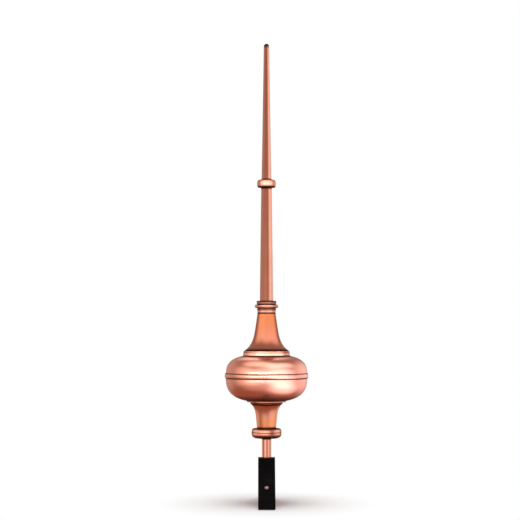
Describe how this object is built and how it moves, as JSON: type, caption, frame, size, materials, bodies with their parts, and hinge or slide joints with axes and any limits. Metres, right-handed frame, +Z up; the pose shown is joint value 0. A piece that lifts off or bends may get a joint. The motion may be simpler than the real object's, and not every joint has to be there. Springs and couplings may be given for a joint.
{
  "type": "roof finial",
  "caption": "Tall copper roof finial with a needle spire over a flared bell and a flattened ball, on a rod and a bent black steel strap that saddles a roof ridge.",
  "frame": {"origin": "middle of the underside of the saddle's crown, where it rests on the roof ridge", "axes": "+Z up along the finial's axis, X along the ridge, Y across it, with the front at -Y"},
  "size_m": [0.1988, 0.2504, 1.0991],
  "materials": {
    "copper": "satin-polished salmon copper",
    "black_steel": "satin black paint on flat steel",
    "zinc_steel": "bright zinc plate"
  },
  "bodies": {
    "root": {"mounting_rod": "copper", "foot_bead": "copper", "cup": "copper", "ball_lower_half": "copper", "ball_upper_half": "copper", "bell_ring": "copper", "bell": "copper", "neck_moulding": "copper", "spire_shaft": "copper", "spire_collar": "copper", "spire_point": "copper", "roof_saddle": "black_steel", "saddle_screw_front": "zinc_steel", "saddle_screw_back": "zinc_steel"}
  },
  "joints": []
}
